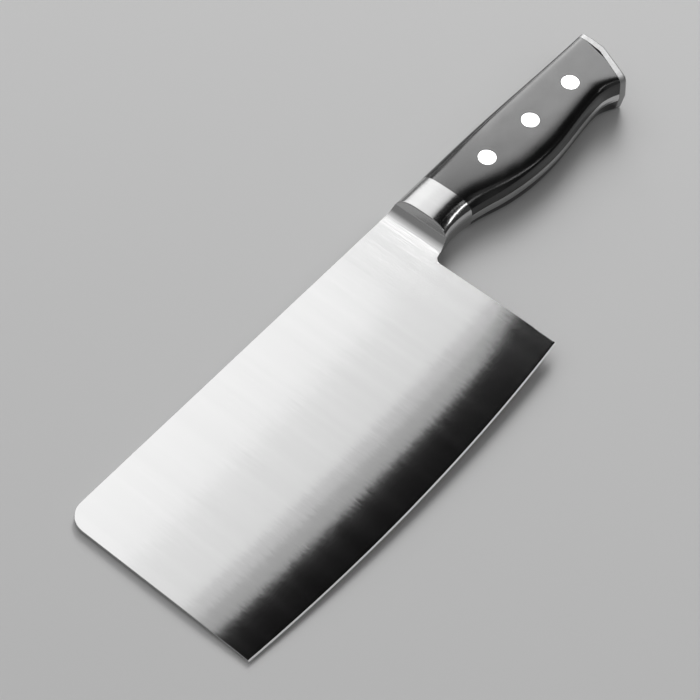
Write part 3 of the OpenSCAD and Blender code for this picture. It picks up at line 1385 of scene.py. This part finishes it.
@dataclass
class Cap(Part):
    """The bent steel plate over the butt."""

    bend_radius: float = 8.0
    outer_slant: float = math.radians(24.0)
    edge_radius: float = 0.9
    inner_ease: float = 0.1
    inner_scales: tuple[float, ...] = (0.0, 0.5, 1.0)
    wall_rings: int = 6
    edge_rings: int = 8
    face_rings: int = 24
    face_start: float = 0.96
    half_ring: int = 160
    rounds: int = 5
    crease: float = 40.0

    def outer_x(self, y: float) -> float:
        """Follows the cap's outside: upright, then bent, then slanted towards the beak.

        Args:
            y: Height in the plan.

        Returns:
            The outside's distance from the heel.
        """
        layout = self.layout
        inset = layout.cap_thickness - self.bend_radius
        turn_x = layout.butt_x + inset
        turn_y = -layout.butt_bend - math.tan(layout.butt_slant / 2) * inset
        if y >= turn_y:
            return layout.butt_x + layout.cap_thickness
        last_y = turn_y - self.bend_radius * math.sin(self.outer_slant)
        if y >= last_y:
            return turn_x + math.sqrt(self.bend_radius ** 2 - (y - turn_y) ** 2)
        last_x = turn_x + self.bend_radius * math.cos(self.outer_slant)
        return last_x - (last_y - y) * math.tan(self.outer_slant)

    def steps(self) -> list[Ring]:
        """Lists the rings, from the middle of the inside over the wall to that of the outside.

        Returns:
            Each ring's share of the thickness, its inset and its scale.
        """
        thick = self.layout.cap_thickness
        wall = spread(self.inner_ease / thick, 1 - self.edge_radius / thick, self.wall_rings)
        made = [(0.0, self.inner_ease, scale) for scale in self.inner_scales]
        made += [(share, 0.0, 1.0) for share in wall]
        for angle in spread(0.0, math.pi / 2, self.edge_rings)[1:]:
            share = 1 - self.edge_radius * (1 - math.sin(angle)) / thick
            made.append((share, self.edge_radius * (1 - math.cos(angle)), 1.0))
        face = spread(self.face_start, 0.0, self.face_rings)
        return made + [(1.0, self.edge_radius, scale) for scale in face]

    def point(self, ring: Ring, angle: float) -> Point:
        """Finds a point of a ring.

        Args:
            ring: The ring's share of the thickness, its inset and its scale.
            angle: Angle from the spine, in radians.

        Returns:
            The point.
        """
        share, inset, scale = ring
        side = Side.SPINE if math.cos(angle) >= 0 else Side.BELLY
        x = self.layout.butt_x
        for _ in range(self.rounds):
            y, z = self.grip.section(x, angle)
            crown = self.grip.crown(x)
            reach = self.grip.shape(x, side)[1]
            y = crown + (y - crown) * (1 - inset / reach) * scale
            z *= (1 - inset / self.grip.half(x)) * scale
            x = mix(self.layout.seam_x(y), self.outer_x(y), share)
        return x, y, max(0.0, z)

    def build(self) -> Piece:
        """Makes the cap.

        Returns:
            Its object.
        """
        bm = bmesh.new()
        steps = self.steps()
        angles = [math.pi * row / self.half_ring for row in range(self.half_ring + 1)]
        lay_grid(bm, len(steps) - 1, self.half_ring, lambda c, r: self.point(steps[c], angles[r]))
        close_at_middle(bm)
        slot = bmesh.new()
        self.add_tenon(slot, self.layout.butt_x - OVER, self.layout.clearance)
        bm = carved(bm, slot)
        return finish_mesh(bm, "cap_polished", self.layout.to_frame(), self.crease)

    def dress(self, finishes: Finishes) -> None:
        """Builds the cap and dresses it."""
        attach(self.build(), "polished_steel", ["end_cap"], finishes.polished)


@dataclass(frozen=True)
class Pane:
    """One pane of the window that leans over the knife.

    It is given by its start and end along X, its start and end as shares of the way from the
    window's near to its far border, and its radiance.
    """

    first: float
    last: float
    near: float
    far: float
    radiance: float


@dataclass
class Studio:
    """The table, the lamps, the surroundings and the camera, in the frame's metres.

    Each span of the room holds the start and end of a direction's measure, then the strengths
    between which the surroundings fade over it. The strongest of the three counts.
    """

    floor_tone: float = 0.7
    floor_roughness: float = 0.75
    floor_sheen: float = 0.2
    floor_size: float = 12.0
    floor_gap: float = 0.0001
    room_lean: Point = (-0.12, 1.0, -0.33)
    room_behind: tuple[float, ...] = (-0.05, 0.08, 0.008, 0.4)
    room_front: tuple[float, ...] = (0.1, 0.32, 0.36, 0.0)
    room_low: tuple[float, ...] = (0.5, 0.72, 0.07, 0.0)
    window_near: Pair = (0.575, 2.0)
    window_far: Pair = (3.2, 0.5)
    panes: tuple[Pane, ...] = (
        *(Pane(0.4 - 0.17 * k, 0.57 - 0.17 * k, -0.02, 0.6, 0.9 - 0.085 * k) for k in range(1, 11)),
        Pane(0.4, 1.24, -0.006, 0.02, 0.62),
        Pane(1.24, 1.33, 0.006, 0.02, 0.5),
        Pane(0.4, 1.33, 0.02, 0.04, 0.87),
        Pane(0.4, 1.33, 0.04, 0.08, 1.12),
        Pane(0.4, 1.15, 0.08, 0.6, 1.33),
        Pane(1.15, 1.305, 0.08, 0.6, 1.05),
        Pane(1.305, 1.4, 0.09, 0.4, 6.4),
        Pane(1.4, 1.5, 0.04, 0.42, 6.2),
        Pane(1.5, 2.3, -0.08, 0.0, 1.6),
        Pane(1.5, 2.3, 0.0, 0.07, 3.8),
        Pane(1.5, 1.7, 0.07, 0.44, 5.1),
        Pane(1.7, 2.3, 0.07, 0.5, 4.8),
        Pane(1.8, 2.4, 0.5, 0.85, 5.2),
    )
    key_place: Point = (2.9, 1.6, 1.9)
    key_size: Pair = (1.2, 1.2)
    key_radiance: float = 8.0
    strip_places: tuple[Point, ...] = ((0.4, -0.1, 0.86), (0.34, -0.36, 0.8), (0.53, -0.61, 0.46))
    strip_radiance: Pair = (0.8, 4.0)
    strip_width: float = 0.06
    camera_spot: Point = (-0.43865, -0.27952, 0.71954)
    camera_aim: Point = (-0.02965, 0.01586, 0.0)
    camera_roll: float = math.radians(4.42)
    lens: float = 118.5
    sensor: float = 36.0

    def table(self) -> None:
        """Adds the table top, tilted to touch the blade's front and the cap."""
        low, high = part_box("end_cap")
        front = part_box("blade")[0]
        slope = (low.z - front.z) / (high.x - front.x)
        bm = bmesh.new()
        bmesh.ops.create_grid(bm, x_segments=1, y_segments=1, size=self.floor_size / 2)
        table = stand(bm, "table_top")
        table.rotation_euler = (0.0, math.atan(-slope), 0.0)
        table.location = (0.0, 0.0, front.z - slope * front.x - self.floor_gap)
        material, board, surface = NodeBoard.surfaced("table_pale")
        board.fill(surface, {
            "Base Color": grey(self.floor_tone),
            "Roughness": self.floor_roughness,
            "Specular IOR Level": self.floor_sheen,
        })
        table.data.materials.append(material)

    def room(self) -> None:
        """Sets the surroundings: grey behind the knife and past its front, dark over the grip."""
        world = bpy.data.worlds.new("room")
        bpy.context.scene.world = world
        world.use_nodes = True
        board = NodeBoard(world.node_tree)
        board.tree.nodes.clear()
        where = board.add("ShaderNodeTexCoord")
        side = board.add("ShaderNodeVectorMath", "DOT_PRODUCT")
        side.inputs[1].default_value = self.room_lean
        board.join(where, "Generated", side, "Vector")
        axes = board.add("ShaderNodeSeparateXYZ")
        board.join(where, "Generated", axes, "Vector")
        strongest = board.ranged(side, "Value", self.room_behind)
        for axis, span in (("X", self.room_front), ("Z", self.room_low)):
            greater = board.add("ShaderNodeMath", "MAXIMUM")
            board.join(strongest, 0, greater, 0)
            board.join(board.ranged(axes, axis, span), "Result", greater, 1)
            strongest = greater
        sky = board.add("ShaderNodeBackground")
        board.join(strongest, 0, sky, "Strength")
        board.join(sky, "Background", board.add("ShaderNodeOutputWorld"), "Surface")

    def lamp(self, name: str, size: Pair, radiance: float) -> Piece:
        """Adds a rectangular soft lamp.

        Args:
            name: Name of the lamp.
            size: Its width and height.
            radiance: Light that each part of it gives off.

        Returns:
            The lamp's object.
        """
        data = bpy.data.lights.new(name, "AREA")
        data.shape = "RECTANGLE"
        data.size, data.size_y = size
        data.energy = radiance * math.pi * size[0] * size[1]
        lamp = bpy.data.objects.new(name, data)
        bpy.context.scene.collection.objects.link(lamp)
        return lamp

    def bar(
        self, name: str, start: Vector, end: Vector, across: Vector, width: float, radiance: float,
    ) -> None:
        """Adds a rectangular soft lamp between two points, with its face towards the knife.

        Args:
            name: Name of the lamp.
            start: Middle of one end.
            end: Middle of the other end.
            across: Direction of its width, at right angles to its length.
            width: Width across.
            radiance: Light that each part of it gives off.
        """
        along = end - start
        lamp = self.lamp(name, (width, along.length), radiance)
        along.normalize()
        turn = Matrix((across, along, across.cross(along))).transposed().to_4x4()
        lamp.matrix_world = Matrix.Translation((start + end) / 2) @ turn

    def window(self) -> None:
        """Adds a window that leans over the knife from behind, pane by pane."""
        near, far = Vector((0.0, *self.window_near)), Vector((0.0, *self.window_far))
        for number, pane in enumerate(self.panes):
            start, end = near.lerp(far, pane.near), near.lerp(far, pane.far)
            start.x = end.x = (pane.first + pane.last) / 2
            width = pane.last - pane.first
            self.bar(f"pane_{number}", start, end, Vector((1.0, 0.0, 0.0)), width, pane.radiance)

    def key(self) -> None:
        """Adds the key lamp, which lies beyond the window and faces the knife's middle."""
        lamp = self.lamp("key", self.key_size, self.key_radiance)
        lamp.location = self.key_place
        lamp.rotation_euler = Vector(self.key_place).to_track_quat("Z", "Y").to_euler()

    def strips(self) -> None:
        """Adds two thin lamps in front of the knife that draw a line along the bolster's side."""
        places = [Vector(place) for place in self.strip_places]
        for number, radiance in enumerate(self.strip_radiance):
            start, end = places[number], places[number + 1]
            across = (end - start).cross(start + end).normalized()
            self.bar(f"strip_{number}", start, end, across, self.strip_width, radiance)

    def camera(self) -> None:
        """Sets the camera at the photograph's viewpoint."""
        data = bpy.data.cameras.new("photo_view")
        data.lens = self.lens
        data.sensor_width = self.sensor
        camera = bpy.data.objects.new("photo_view", data)
        look = Vector(self.camera_aim) - Vector(self.camera_spot)
        turn = look.to_track_quat("-Z", "Y").to_matrix().to_4x4()
        roll = Matrix.Rotation(self.camera_roll, 4, "Z")
        camera.matrix_world = Matrix.Translation(self.camera_spot) @ turn @ roll
        bpy.context.scene.collection.objects.link(camera)
        bpy.context.scene.camera = camera

    def build(self) -> None:
        """Builds the whole studio."""
        bpy.context.scene.view_settings.view_transform = "Standard"
        for step in (self.table, self.room, self.window, self.key, self.strips, self.camera):
            step()


def main() -> None:
    """Builds and dresses the knife in its studio."""
    logging.basicConfig(level=logging.INFO, format="%(name)s: %(message)s")
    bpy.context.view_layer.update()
    layout = Layout()
    grip = Grip(layout)
    Studio().build()
    finishes = Finishes.made()
    for kind in (Blade, Bolster, Tang, Cap, Scales, RivetRow):
        kind(layout, grip).dress(finishes)


if __name__ == "__main__":
    main()
